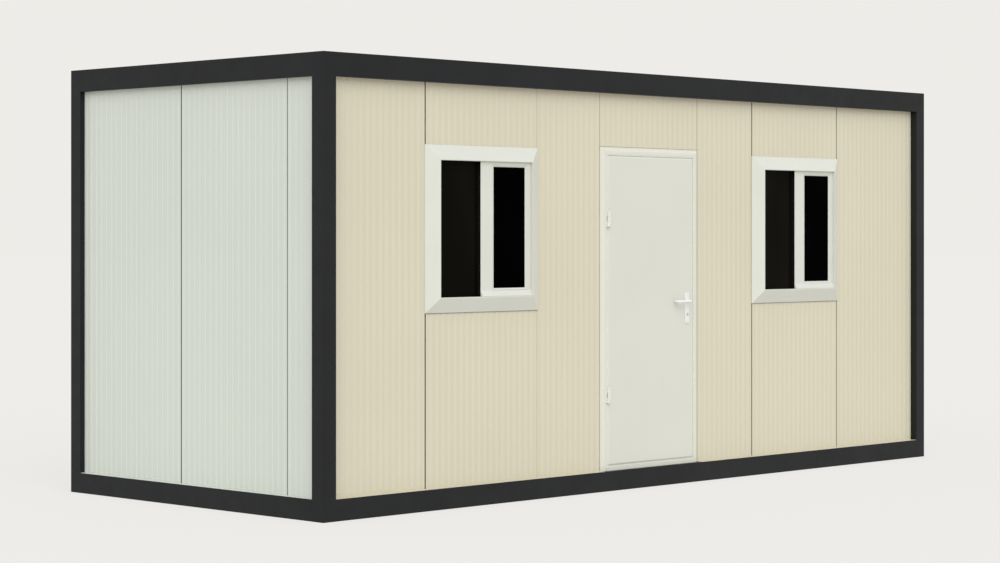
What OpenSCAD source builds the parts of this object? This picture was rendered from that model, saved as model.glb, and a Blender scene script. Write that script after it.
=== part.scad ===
// Portable site cabin: a steel frame of corner posts and beams, filled with 50 mm sandwich panels,
// with a hinged door between two sliding windows in one long wall.
// The origin is at ground level in the middle of the footprint. +X runs along the length,
// the wall with the door faces -Y, and +Z is up.

/* [Cabin] */
// Length over the steel frame
cabin_l = 6055; // [5000:5:7300]
// Width over the steel frame
cabin_w = 2435; // [2000:5:3000]
// Height from the ground to the top of the frame
cabin_h = 2720; // [2620:5:3300]

/* [Steel frame] */
// Side of the square corner posts, and width of every beam
post_w = 100; // [90:1:130]
// Height of the roof beams
top_beam_h = 140; // [120:1:180]
// Height of the floor beams and joists
bottom_beam_h = 128; // [100:1:160]
// Number of floor joists, odd so that one lies in the middle
floor_joists = 9; // [7:2:13]
// Number of roof joists
roof_joists = 9; // [5:1:13]
// Width of a floor joist or roof joist
joist_w = 60; // [40:1:80]

/* [Wall panels] */
// Thickness of a sandwich panel
panel_t = 50; // [40:1:62]
// Depth of the long walls' outer face behind the frame
side_recess = 50; // [36:1:60]
// Depth of the end walls' outer face behind the frame
end_recess = 36; // [20:1:50]
// Width of a full panel, and of the window and door elements
module_w = 990; // [980:1:1150]
// Width of the narrow panels between the door and the windows
infill_w = 594; // [400:1:800]
// Widest panel that closes the stretch next to a corner post
widest_panel = 1150; // [1000:10:1300]
// How far the door stands off the middle of the cabin
door_shift = -82.5; // [-200:0.5:200]
// Open joint between two panels
joint = 2; // [1:0.5:4]
// Width of the tongue between two panels
tongue_w = 18; // [10:1:24]
// Depth of the tongue between two panels
tongue_d = 10; // [5:1:14]

/* [Floor and roof] */
// Thickness of the floor deck
deck_t = 22; // [18:1:30]
// Thickness of the ceiling boards
ceiling_t = 20; // [12:1:30]
// Depth of the ribs' tops below the top of the frame
roof_recess = 20; // [10:1:40]
// Height of the roof sheet's ribs
rib_h = 30; // [20:1:45]
// Width of a rib's top
rib_top_w = 40; // [30:1:60]
// Run of a rib's slanting side
rib_flank = 15; // [8:1:25]
// Distance between ribs
rib_pitch = 195; // [160:1:260]
// Thickness of the roof sheet
roof_sheet_t = 2; // [1:0.5:3]

/* [Windows] */
// Width of the clear opening inside the outer trim
window_w = 806; // [700:1:860]
// Height of the clear opening inside the outer trim
window_h = 832; // [700:1:1000]
// Height of the middle of the windows above the ground
window_z = 1696; // [1500:1:1800]
// Width of the splayed outer trim
trim_w = 94; // [70:1:110]
// How far the trim's inner edge stands off the wall
trim_proud = 48; // [40:1:50]
// Thickness of the trim at its outer edge
trim_edge = 10; // [6:1:16]
// Flat along the trim's inner edge
trim_lip = 6; // [3:1:12]
// Width of the window frame's face
frame_w = 40; // [30:1:50]
// How far the window frame stands off the wall face, under the trim
frame_proud = 22; // [10:1:26]
// Width of the frame's flange on the inner face of the wall
flange_w = 70; // [60:1:90]
// Thickness of that flange
flange_t = 8; // [4:1:12]
// Gap around the window frame in the panel
window_fit = 2; // [1:0.5:4]
// Width of the sliding sash
sash_w = 449; // [400:1:480]
// Thickness of the sash
sash_t = 24; // [18:1:30]
// How far the sash stands off the wall face
sash_proud = 32; // [4:1:36]
// Width of the sash's stile at the middle of the window
meeting_stile = 131; // [60:1:140]
// Width of the sash's outer stile
outer_stile = 45; // [25:1:60]
// Height of the sash's top rail
top_rail = 28; // [15:1:50]
// Height of the sash's bottom rail
bottom_rail = 51; // [40:1:80]
// Width of the fixed mullion behind the meeting stile
mullion_w = 30; // [20:1:50]
// Thickness of the sash's glass
sash_glass_t = 6; // [4:1:12]
// Thickness of the fixed glass
fixed_glass_t = 8; // [4:1:12]
// Depth of the fixed glass behind the sash
glass_step = 3; // [1:1:10]
// Gap between the sash and the fixed mullion behind it
sash_gap = 1; // [1:0.5:3]

/* [Door] */
// Width of the door leaf
leaf_w = 876; // [800:1:880]
// Height of the door leaf
leaf_h = 2020; // [1900:1:2040]
// Thickness of the door leaf
leaf_t = 45; // [38:1:45]
// Width of the bevel around the leaf's outer face
leaf_bevel = 17; // [10:1:24]
// Depth of that bevel
leaf_bevel_d = 6; // [3:1:9]
// Gap between the leaf and the frame at the hinges, the head, the stop and the threshold
leaf_gap = 5; // [5:0.5:7]
// Gap between the leaf and the frame at the lock
lock_gap = 7; // [6.5:0.5:9]
// Depth of the leaf's face behind the steel frame's outer face
leaf_depth = 30; // [22:1:35]
// How far the leaf stands out from the door frame's face
leaf_proud = 2; // [0:0.5:4]
// Visible width of the door frame
door_face = 42; // [30:1:45]
// Width of the bevel around the door frame
door_bevel = 20; // [10:1:24]
// Width of the stop that the leaf closes against
stop_w = 20; // [12:1:30]
// Height of the threshold's top above the floor beam
threshold_h = 25; // [24:1:30]

/* [Door hardware] */
// Radius of the hinge knuckles
knuckle_r = 8; // [6:0.5:9]
// Radius of the hinge pin
pin_r = 4; // [3:0.5:5]
// Gap around the hinge pin
pin_fit = 0.1; // [0.05:0.05:0.3]
// Height of a hinge
hinge_h = 100; // [80:1:120]
// Gap between two knuckles
knuckle_gap = 1; // [0.5:0.5:2]
// Distance of the hinge axis from the leaf's face
hinge_stand = 11; // [10:0.5:14]
// Thickness of the hinge's plates
hinge_plate_t = 4; // [3:0.5:5]
// Height of the lower hinge's middle above the leaf's lower edge
low_hinge = 461; // [200:1:600]
// Height of the upper hinge's middle above the leaf's lower edge
high_hinge = 1605; // [1300:1:1800]
// Height of the lever's axis above the leaf's lower edge
lever_up = 1057; // [900:1:1100]
// Distance of the lever's axis from the leaf's free edge
backset = 77; // [55:1:90]
// Width of a handle plate
plate_w = 40; // [32:1:50]
// Height of a handle plate
plate_h = 205; // [190:1:240]
// Thickness of a handle plate
plate_t = 8; // [5:1:12]
// Height of a handle plate's top above the lever's axis
plate_above = 56; // [40:1:70]
// Distance from the lever's axis down to the lock cylinder's axis
lock_drop = 88; // [72:1:92]
// Radius of the lever's round bar
lever_r = 9; // [7:0.5:10]
// Reach of the lever from its axis to its far side
lever_reach = 138; // [110:1:160]
// How far the lever stands off the leaf
lever_stand = 55; // [45:1:65]
// Gap between the lever's end and the leaf
lever_end_gap = 9; // [6:1:14]
// Radius of the lever's two bends, at the middle of the bar
lever_bend = 16; // [12:1:20]
// Radius of the lock cylinder
lock_r = 8.5; // [8:0.5:10]
// How far the lock cylinder stands off the handle plate
lock_proud = 2; // [1:0.5:3]
// Width of the key slot
key_slot = 2; // [1.5:0.5:3]
// Side of the square spindle
spindle = 8; // [7:0.5:9]
// Gap around a turning or fixed round piece in its bore
bore_fit = 0.4; // [0.2:0.1:0.6]

/* [Hidden] */
$fn = 48;
cut = 1;

// Outer half sizes, and the inner faces of the posts and beams
half_l = cabin_l / 2;
half_w = cabin_w / 2;
bay_x = half_l - post_w;
bay_y = half_w - post_w;

// Inner faces of the walls
room_x = half_l - end_recess - panel_t;
room_y = min(bay_y, half_w - side_recess - panel_t);

// Walls stand on the floor beams and reach the roof beams
wall_z0 = bottom_beam_h;
wall_z1 = cabin_h - top_beam_h;

// Wall depths, measured inwards from the steel frame's outer face
face_r = side_recess;
back_r = side_recess + panel_t;

// Layout of the front wall
group_w = 3 * module_w + 2 * infill_w;
group_x0 = door_shift - group_w / 2;
group_x1 = door_shift + group_w / 2;
door_x = door_shift;
window_left_x = group_x0 + module_w / 2;
window_right_x = group_x1 - module_w / 2;
door_x0 = door_x - module_w / 2;
door_x1 = door_x + module_w / 2;

// Roof build-up
rib_top_z = cabin_h - roof_recess;
roof_base_z = rib_top_z - rib_h - roof_sheet_t;

// Window depths
frame_r0 = face_r - frame_proud;
sash_r0 = face_r - sash_proud;
sash_r1 = sash_r0 + sash_t;
fixed_glass_r = sash_r1 + glass_step;
cutout_w = window_w + 2 * (frame_w + window_fit);
cutout_h = window_h + 2 * (frame_w + window_fit);

// Door leaf and the clear aperture of its frame
door_in_w = leaf_w + leaf_gap + lock_gap;
door_in_x0 = door_x - door_in_w / 2;
door_in_x1 = door_x + door_in_w / 2;
leaf_x0 = door_in_x0 + leaf_gap;
leaf_x1 = leaf_x0 + leaf_w;
leaf_z0 = wall_z0 + threshold_h + leaf_gap;
leaf_z1 = leaf_z0 + leaf_h;
leaf_r1 = leaf_depth + leaf_t;
door_face_r = leaf_depth + leaf_proud;
stop_r = leaf_r1 + leaf_gap;
door_in_z1 = leaf_z1 + leaf_gap;
door_margin = (module_w - door_in_w) / 2 - door_face;
over_door_z = door_in_z1 + door_face + door_margin;

// Hinge axis, in plan
hinge_x = leaf_x0 - leaf_gap / 2;
hinge_r = leaf_depth - hinge_stand;
knuckle_h = (hinge_h - 2 * knuckle_gap) / 3;

// Lever axis
lever_x = leaf_x1 - backset;
lever_z = leaf_z0 + lever_up;
lock_z = lever_z - lock_drop;
neck_l = lever_stand - lever_r - lever_bend;
bar_l = lever_reach - lever_r - 2 * lever_bend;
return_l = lever_stand - lever_r - lever_bend - lever_end_gap;

// ---- Shared shapes ----

// A box from two corners, with depths along Y measured inwards from the front of the frame
module slab(x0, x1, r0, r1, z0, z1) {
    translate([x0, r0 - half_w, z0]) cube([x1 - x0, r1 - r0, z1 - z0]);
}

// Corner post in one quadrant, named by the signs of its X and Y
module corner_post(sx, sy) {
    color("#2c2f31") translate([sx * (half_l - post_w / 2), sy * (half_w - post_w / 2), cabin_h / 2])
        cube([post_w, post_w, cabin_h], center = true);
}

// Beam along the length, between two posts
module long_beam(sy, z0, h) {
    color("#2c2f31") translate([0, sy * (half_w - post_w / 2), z0 + h / 2])
        cube([2 * bay_x, post_w, h], center = true);
}

// Beam across the width, between two posts
module cross_beam(sx, z0, h) {
    color("#2c2f31") translate([sx * (half_l - post_w / 2), 0, z0 + h / 2])
        cube([post_w, 2 * bay_y, h], center = true);
}

// Evenly spaced joists across the width, between the two long beams
module joist_set(count, z0, z1) {
    pitch = 2 * bay_x / (count + 1);
    for (i = [1:count])
        translate([i * pitch - bay_x - joist_w / 2, -bay_y, z0])
            cube([joist_w, 2 * bay_y, z1 - z0]);
}

// Sandwich panel from x0 to x1, thickness panel_t along +Y from y = 0. The groove is in the edge
// at x0 and the tongue on the edge at x1, each only where the panel meets another one.
module panel(x0, x1, z0, z1, groove = false, tongue = false) {
    slot_w = tongue_w + 2 * joint;
    difference() {
        union() {
            translate([x0, 0, z0]) cube([x1 - x0, panel_t, z1 - z0]);
            if (tongue)
                translate([x1 - cut, (panel_t - tongue_w) / 2, z0]) cube([tongue_d + cut, tongue_w, z1 - z0]);
        }
        if (groove)
            translate([x0 - cut, (panel_t - slot_w) / 2, z0 - cut])
                cube([tongue_d + cut, slot_w, z1 - z0 + 2 * cut]);
    }
}

// Equal panels that close the stretch from x0 to x1, none wider than widest_panel. The joints to
// the neighbours outside the stretch are open by half of joint.
module plain_run(x0, x1, z0, z1, groove, tongue) {
    count = ceil((x1 - x0) / widest_panel);
    pitch = (x1 - x0) / count;
    for (i = [0:count - 1]) {
        first = i == 0 && !groove;
        last = i == count - 1 && !tongue;
        panel(x0 + i * pitch + (first ? 0 : joint / 2), x0 + (i + 1) * pitch - (last ? 0 : joint / 2),
            z0, z1, !first, !last);
    }
}

// A whole wall between two posts: one narrower panel first, then full ones
module full_wall(half) {
    full = ceil(2 * half / module_w) - 1;
    rest = 2 * half - full * module_w;
    edges = concat([-half], [for (i = [0:full]) rest - half + i * module_w]);
    for (i = [0:full]) {
        first = i == 0;
        last = i == full;
        panel(edges[i] + (first ? 0 : joint / 2), edges[i + 1] - (last ? 0 : joint / 2),
            wall_z0, wall_z1, !first, !last);
    }
}

// Plain stretch of the front wall, set at its depth
module front_panel(x0, x1, groove, tongue) {
    color("#dcd5bd") translate([0, face_r - half_w, 0]) plain_run(x0, x1, wall_z0, wall_z1, groove, tongue);
}

// One mitred side of a rectangular frame. The profile's points are [distance outwards from the
// aperture's edge, depth], run is the aperture's size along this side.
module mitred_side(run, profile, inner, outer) {
    intersection() {
        rotate([0, -90, 0]) linear_extrude(run + 2 * outer, center = true) polygon(profile);
        rotate([90, 0, 0]) linear_extrude(4 * half_w, center = true)
            polygon([[inner - run / 2, -inner], [run / 2 - inner, -inner],
                     [run / 2 + outer, outer], [-run / 2 - outer, outer]]);
    }
}

// Rectangular frame around an aperture w by h, centred on the origin in X and Z
module mitred_frame(w, h, profile, inner, outer) {
    for (side = [0:3]) {
        across = side % 2 == 0;
        rotate([0, 90 * side, 0]) translate([0, 0, (across ? h : w) / 2])
            mitred_side(across ? w : h, profile, inner, outer);
    }
}

// ---- Frame, floor and roof ----

module corner_post_front_left() { corner_post(-1, -1); }
module corner_post_front_right() { corner_post(1, -1); }
module corner_post_back_left() { corner_post(-1, 1); }
module corner_post_back_right() { corner_post(1, 1); }
module top_beam_front() { long_beam(-1, wall_z1, top_beam_h); }
module top_beam_back() { long_beam(1, wall_z1, top_beam_h); }
module top_beam_left() { cross_beam(-1, wall_z1, top_beam_h); }
module top_beam_right() { cross_beam(1, wall_z1, top_beam_h); }
module bottom_beam_front() { long_beam(-1, 0, bottom_beam_h); }
module bottom_beam_back() { long_beam(1, 0, bottom_beam_h); }
module bottom_beam_left() { cross_beam(-1, 0, bottom_beam_h); }
module bottom_beam_right() { cross_beam(1, 0, bottom_beam_h); }

module floor_joist_set() { color("#4a4d4f") joist_set(floor_joists, 0, bottom_beam_h); }

module floor_deck() {
    color("#8f9294") translate([-room_x, -room_y, bottom_beam_h]) cube([2 * room_x, 2 * room_y, deck_t]);
}

module roof_joist_set() { color("#4a4d4f") joist_set(roof_joists, wall_z1, roof_base_z); }

// Boards across the width, under the roof joists
module ceiling_boards() {
    count = ceil(2 * room_x / widest_panel);
    pitch = 2 * room_x / count;
    color("#e9e9e4") for (i = [0:count - 1])
        translate([i * pitch - room_x + joint / 2, -room_y, wall_z1 - ceiling_t])
            cube([pitch - joint, 2 * room_y, ceiling_t]);
}

// Ribbed sheet with its ribs across the width, laid on the roof joists inside the frame
module roof_sheet() {
    ribs = floor((2 * bay_x - rib_top_w) / rib_pitch);
    foot = rib_top_w / 2 + rib_flank;
    upper = concat(
        [[-bay_x, 0]],
        [for (i = [0:ribs - 1], p = [[-foot, 0], [-rib_top_w / 2, rib_h], [rib_top_w / 2, rib_h], [foot, 0]])
            [(i - (ribs - 1) / 2) * rib_pitch + p.x, p.y]],
        [[bay_x, 0]]);
    lower = [for (i = [len(upper) - 1:-1:0]) upper[i] - [0, roof_sheet_t]];
    color("#9ea3a5") translate([0, bay_y, roof_base_z + roof_sheet_t]) rotate([90, 0, 0])
        linear_extrude(2 * bay_y) polygon(concat(upper, lower));
}

// ---- Walls ----

module front_panel_left() { front_panel(-bay_x, group_x0, false, true); }
module front_panel_mid_left() { front_panel(window_left_x + module_w / 2, door_x0, true, false); }
module front_panel_mid_right() { front_panel(door_x1, window_right_x - module_w / 2, false, true); }
module front_panel_right() { front_panel(group_x1, bay_x, true, false); }

module front_panel_over_door() {
    color("#dcd5bd") translate([0, face_r - half_w, 0])
        panel(door_x0 + joint, door_x1 - joint, over_door_z, wall_z1);
}

// Full panel with the window's opening cut through it
module window_panel(x) {
    reach = (module_w - joint) / 2;
    color("#dcd5bd") difference() {
        translate([0, face_r - half_w, 0]) panel(x - reach, x + reach, wall_z0, wall_z1, true, true);
        slab(x - cutout_w / 2, x + cutout_w / 2, face_r - cut, back_r + cut,
            window_z - cutout_h / 2, window_z + cutout_h / 2);
    }
}

module front_panel_window_left() { window_panel(window_left_x); }
module front_panel_window_right() { window_panel(window_right_x); }

module back_wall_panels() {
    color("#dcd5bd") rotate([0, 0, 180]) translate([0, face_r - half_w, 0]) full_wall(bay_x);
}

module left_end_panels() {
    color("#d8dad2") rotate([0, 0, -90]) translate([0, end_recess - half_l, 0])
        mirror([1, 0, 0]) full_wall(bay_y);
}

module right_end_panels() {
    color("#d8dad2") rotate([0, 0, 90]) translate([0, end_recess - half_l, 0]) full_wall(bay_y);
}

// ---- Windows ----

// Splayed outer trim, highest at its inner edge and rebated over the window frame
module window_trim(x) {
    rebate = frame_w + window_fit;
    profile = [[0, frame_r0], [0, face_r - trim_proud], [trim_lip, face_r - trim_proud],
               [trim_w, face_r - trim_edge], [trim_w, face_r], [rebate, face_r], [rebate, frame_r0]];
    color("#e3e2da") translate([x, -half_w, window_z])
        mitred_frame(window_w, window_h, profile, 0, trim_w);
}

// Frame in the wall's opening, with a flange on the room side and a fixed mullion
module window_frame(x) {
    profile = [[0, frame_r0], [frame_w, frame_r0], [frame_w, back_r], [flange_w, back_r],
               [flange_w, back_r + flange_t], [0, back_r + flange_t]];
    color("#e6e6e0") {
        translate([x, -half_w, window_z]) mitred_frame(window_w, window_h, profile, 0, flange_w);
        slab(x + window_w / 2 - sash_w + meeting_stile / 2 - mullion_w / 2,
            x + window_w / 2 - sash_w + meeting_stile / 2 + mullion_w / 2,
            sash_r1 + sash_gap, back_r, window_z - window_h / 2 - cut, window_z + window_h / 2 + cut);
    }
}

// Sliding sash in the right half of the window
module window_sash(x) {
    x1 = x + window_w / 2;
    x0 = x1 - sash_w;
    z0 = window_z - window_h / 2;
    z1 = window_z + window_h / 2;
    color("#e6e6e0") difference() {
        slab(x0, x1, sash_r0, sash_r1, z0, z1);
        slab(x0 + meeting_stile, x1 - outer_stile, sash_r0 - cut, sash_r1 + cut,
            z0 + bottom_rail, z1 - top_rail);
    }
}

// Fixed pane on the left and the sash's own pane on the right
module window_glass(x) {
    x0 = x - window_w / 2;
    x1 = x + window_w / 2;
    z0 = window_z - window_h / 2;
    z1 = window_z + window_h / 2;
    sash_x0 = x1 - sash_w;
    sash_glass_r = sash_r0 + (sash_t - sash_glass_t) / 2;
    color("#15171a") {
        slab(x0, sash_x0 + meeting_stile / 2 - mullion_w / 2,
            fixed_glass_r, fixed_glass_r + fixed_glass_t, z0, z1);
        slab(sash_x0 + meeting_stile, x1 - outer_stile,
            sash_glass_r, sash_glass_r + sash_glass_t, z0 + bottom_rail, z1 - top_rail);
    }
}

module window_left_trim() { window_trim(window_left_x); }
module window_left_frame() { window_frame(window_left_x); }
module window_left_sash() { window_sash(window_left_x); }
module window_left_glass() { window_glass(window_left_x); }
module window_right_trim() { window_trim(window_right_x); }
module window_right_frame() { window_frame(window_right_x); }
module window_right_sash() { window_sash(window_right_x); }
module window_right_glass() { window_glass(window_right_x); }

// ---- Door ----

// Jambs and head, with a bevelled face, a flat edge beside the panels and a stop for the leaf
module door_frame() {
    body = door_face + door_margin - joint;
    reach = door_in_z1 - wall_z0;
    profile = [[0, door_face_r], [door_face - door_bevel, door_face_r], [door_face, face_r],
               [body, face_r], [body, back_r], [-stop_w, back_r], [-stop_w, stop_r], [0, stop_r]];
    color("#e4e5df") intersection() {
        translate([door_x, -half_w, wall_z0]) mitred_frame(door_in_w, 2 * reach, profile, stop_w, body);
        slab(door_x0, door_x1, 0, 2 * back_r, wall_z0, door_in_z1 + 2 * door_face + door_margin);
    }
}

// Threshold between the jambs, notched around their stops
module door_threshold() {
    color("#e4e5df") {
        slab(door_in_x0, door_in_x1, leaf_depth, stop_r, wall_z0, wall_z0 + threshold_h);
        slab(door_in_x0 + stop_w, door_in_x1 - stop_w, stop_r - cut, back_r, wall_z0, wall_z0 + threshold_h);
    }
}

// Round bore or rod along Y, from depth r0 to depth r1
module rod(x, z, radius, r0, r1) {
    translate([x, r0 - half_w, z]) rotate([-90, 0, 0]) cylinder(r = radius, h = r1 - r0);
}

// Flat leaf with a shallow bevel around its outer face
module door_leaf() {
    flat_w = leaf_w - 2 * leaf_bevel;
    flat_h = leaf_h - 2 * leaf_bevel;
    beyond = leaf_bevel + cut;
    bevel = [[0, leaf_depth], [beyond, leaf_depth + leaf_bevel_d * beyond / leaf_bevel],
             [beyond, leaf_depth - cut], [0, leaf_depth - cut]];
    color("#e6e8e1") difference() {
        slab(leaf_x0, leaf_x1, leaf_depth, leaf_r1, leaf_z0, leaf_z1);
        translate([(leaf_x0 + leaf_x1) / 2, -half_w, (leaf_z0 + leaf_z1) / 2])
            mitred_frame(flat_w, flat_h, bevel, 0, beyond);
        rod(lever_x, lever_z, lever_r + bore_fit, leaf_depth - cut, leaf_r1 + cut);
        rod(lever_x, lock_z, lock_r + bore_fit, leaf_depth - cut, leaf_r1 + cut);
    }
}

// Frame side of a hinge: upper and lower knuckle, the pin through both, and the plate
module hinge_frame_half(z) {
    low = z - hinge_h / 2;
    translate([hinge_x, hinge_r - half_w, low]) {
        cylinder(r = knuckle_r, h = knuckle_h);
        cylinder(r = pin_r, h = hinge_h);
        translate([0, 0, hinge_h - knuckle_h]) cylinder(r = knuckle_r, h = knuckle_h);
    }
    for (z0 = [low, low + hinge_h - knuckle_h])
        slab(hinge_x - knuckle_r, hinge_x - pin_r / 2, hinge_r, door_face_r, z0, z0 + knuckle_h);
    slab(door_in_x0 - door_face + door_bevel, hinge_x - knuckle_r / 2,
        door_face_r - hinge_plate_t, door_face_r, low, low + hinge_h);
}

// Leaf side of a hinge: the middle knuckle around the pin, and the plate on the leaf
module hinge_door_half(z) {
    low = z - knuckle_h / 2;
    difference() {
        union() {
            translate([hinge_x, hinge_r - half_w, low]) cylinder(r = knuckle_r, h = knuckle_h);
            slab(hinge_x + pin_r / 2, hinge_x + 2 * knuckle_r, leaf_depth - hinge_stand / 2,
                leaf_depth, low, low + knuckle_h);
            slab(hinge_x, hinge_x + knuckle_r, hinge_r, leaf_depth - hinge_plate_t, low, low + knuckle_h);
            slab(hinge_x + knuckle_r + hinge_plate_t, hinge_x + 4 * knuckle_r,
                leaf_depth - hinge_plate_t, leaf_depth, z - hinge_h / 2, z + hinge_h / 2);
        }
        translate([hinge_x, hinge_r - half_w, low - cut])
            cylinder(r = pin_r + pin_fit, h = knuckle_h + 2 * cut);
    }
}

module hinge_frame_halves() {
    color("#d5d7d2") for (up = [low_hinge, high_hinge]) hinge_frame_half(leaf_z0 + up);
}

module hinge_door_halves() {
    color("#d5d7d2") for (up = [low_hinge, high_hinge]) hinge_door_half(leaf_z0 + up);
}

// Plate under the lever, from depth r0 to depth r1, with bores for the lever and the lock
module handle_plate(r0, r1) {
    top = lever_z + plate_above;
    difference() {
        slab(lever_x - plate_w / 2, lever_x + plate_w / 2, r0, r1, top - plate_h, top);
        rod(lever_x, lever_z, lever_r + bore_fit, r0 - cut, r1 + cut);
        rod(lever_x, lock_z, lock_r + bore_fit, r0 - cut, r1 + cut);
    }
}

module handle_plates() {
    color("#e8e9e4") {
        handle_plate(leaf_depth - plate_t, leaf_depth);
        handle_plate(leaf_r1, leaf_r1 + plate_t);
    }
}

// Round lock barrel through the leaf and both plates, with a key slot in each end
module lock_cylinder() {
    r0 = leaf_depth - plate_t - lock_proud;
    r1 = leaf_r1 + plate_t + lock_proud;
    slot_d = 2 * lock_proud;
    color("#c9ccc8") difference() {
        rod(lever_x, lock_z, lock_r, r0, r1);
        for (r = [r0, r1])
            slab(lever_x - key_slot / 2, lever_x + key_slot / 2, r - slot_d, r + slot_d,
                lock_z - lock_r / 2, lock_z + lock_r / 2);
    }
}

// Quarter of a round bar's bend, from -Y round to -X, starting at the origin
module quarter_bend() {
    translate([-lever_bend, 0, 0]) rotate([0, 0, -90]) rotate_extrude(angle = 90)
        translate([lever_bend, 0]) circle(lever_r);
}

// One lever, starting at the leaf's face and growing towards -Y
module lever_arm() {
    rotate([90, 0, 0]) cylinder(r = lever_r, h = neck_l);
    translate([0, -neck_l, 0]) quarter_bend();
    translate([-lever_bend, -neck_l - lever_bend, 0]) rotate([0, -90, 0]) cylinder(r = lever_r, h = bar_l);
    translate([-lever_bend - bar_l - lever_bend, -neck_l, 0]) {
        mirror([1, 0, 0]) quarter_bend();
        rotate([-90, 0, 0]) cylinder(r = lever_r, h = return_l);
    }
}

// Outer and inner lever on one square spindle
module door_lever() {
    color("#eceded") translate([lever_x, leaf_depth - half_w, lever_z]) {
        lever_arm();
        translate([0, leaf_t, 0]) mirror([0, 1, 0]) lever_arm();
        translate([-spindle / 2, -cut, -spindle / 2]) cube([spindle, leaf_t + 2 * cut, spindle]);
    }
}

corner_post_front_left();
corner_post_front_right();
corner_post_back_left();
corner_post_back_right();
top_beam_front();
top_beam_back();
top_beam_left();
top_beam_right();
bottom_beam_front();
bottom_beam_back();
bottom_beam_left();
bottom_beam_right();
floor_joist_set();
floor_deck();
roof_joist_set();
ceiling_boards();
roof_sheet();
front_panel_left();
front_panel_window_left();
front_panel_mid_left();
front_panel_over_door();
front_panel_mid_right();
front_panel_window_right();
front_panel_right();
back_wall_panels();
left_end_panels();
right_end_panels();
window_left_trim();
window_left_frame();
window_left_sash();
window_left_glass();
window_right_trim();
window_right_frame();
window_right_sash();
window_right_glass();
door_frame();
door_threshold();
hinge_frame_halves();
door_leaf();
hinge_door_halves();
handle_plates();
lock_cylinder();
door_lever();
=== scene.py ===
"""Portable site cabin: painted steel frame, ribbed wall panels, two sliding windows and a hinged door.

Shapes are worked out in millimetres and become metres when their piece is made. On a wall, a point
is (along, depth, height), where depth runs inwards from the outer face of the steel frame.
"""
import math

import bpy
import numpy as np
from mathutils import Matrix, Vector


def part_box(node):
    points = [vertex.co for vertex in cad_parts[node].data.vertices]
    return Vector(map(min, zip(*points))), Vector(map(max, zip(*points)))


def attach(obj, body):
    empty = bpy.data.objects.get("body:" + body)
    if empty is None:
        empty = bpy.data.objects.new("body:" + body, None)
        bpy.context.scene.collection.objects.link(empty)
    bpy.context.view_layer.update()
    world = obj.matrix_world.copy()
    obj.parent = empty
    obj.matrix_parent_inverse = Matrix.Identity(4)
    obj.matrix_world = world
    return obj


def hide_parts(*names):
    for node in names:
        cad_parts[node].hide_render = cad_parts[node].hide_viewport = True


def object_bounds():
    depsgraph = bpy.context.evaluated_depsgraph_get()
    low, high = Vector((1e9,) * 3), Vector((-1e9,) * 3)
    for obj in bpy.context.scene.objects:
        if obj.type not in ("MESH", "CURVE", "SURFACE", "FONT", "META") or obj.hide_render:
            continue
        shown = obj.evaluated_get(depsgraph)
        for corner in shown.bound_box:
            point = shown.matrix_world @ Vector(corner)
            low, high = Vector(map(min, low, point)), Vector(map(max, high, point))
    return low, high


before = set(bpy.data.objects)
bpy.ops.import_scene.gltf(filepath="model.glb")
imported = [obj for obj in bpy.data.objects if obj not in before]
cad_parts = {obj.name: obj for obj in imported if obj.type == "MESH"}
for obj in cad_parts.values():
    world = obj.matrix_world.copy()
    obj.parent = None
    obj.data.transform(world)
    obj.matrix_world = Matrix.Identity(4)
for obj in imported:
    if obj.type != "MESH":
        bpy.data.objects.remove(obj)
cad_low, cad_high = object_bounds()


# ---- Finishes ----

class Value:
    """A shader value that takes part in Python expressions."""

    def __init__(self, nodes, socket):
        self.nodes, self.socket = nodes, socket

    def _math(self, operation, *terms):
        return self.nodes.node("ShaderNodeMath", {"operation": operation}, dict(enumerate(terms)))

    def __add__(self, other):
        return self._math("ADD", self, other)

    def __radd__(self, other):
        return self._math("ADD", other, self)

    def __sub__(self, other):
        return self._math("SUBTRACT", self, other)

    def __rsub__(self, other):
        return self._math("SUBTRACT", other, self)

    def __mul__(self, other):
        return self._math("MULTIPLY", self, other)

    def __rmul__(self, other):
        return self._math("MULTIPLY", other, self)

    def step(self, low, high):
        """0 below low, 1 above high and a smooth climb between them."""
        return self.nodes.node("ShaderNodeMapRange", {"interpolation_type": "SMOOTHSTEP"},
                               {"Value": self, "From Min": low, "From Max": high})


class Nodes:
    """The nodes that feed one shader of a node tree."""

    def __init__(self, tree, shader):
        self.tree, self.shader = tree, tree.nodes[shader]

    def node(self, kind, settings, inputs, output=0):
        """A node of a kind with its settings made first, then its inputs' values or links."""
        made = self.tree.nodes.new(kind)
        for name, setting in settings.items():
            setattr(made, name, setting)
        for name, value in inputs.items():
            if isinstance(value, Value):
                self.tree.links.new(value.socket, made.inputs[name])
            else:
                made.inputs[name].default_value = value
        return Value(self, made.outputs[output])

    def mix(self, factor, first, second):
        """A colour between two colours."""
        return self.node("ShaderNodeMix", {"data_type": "RGBA"}, {0: factor, 6: first, 7: second}, 2)

    def feed(self, socket, value):
        """Lets a varying value or colour into the shader."""
        self.tree.links.new(value.socket, self.shader.inputs[socket])


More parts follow.
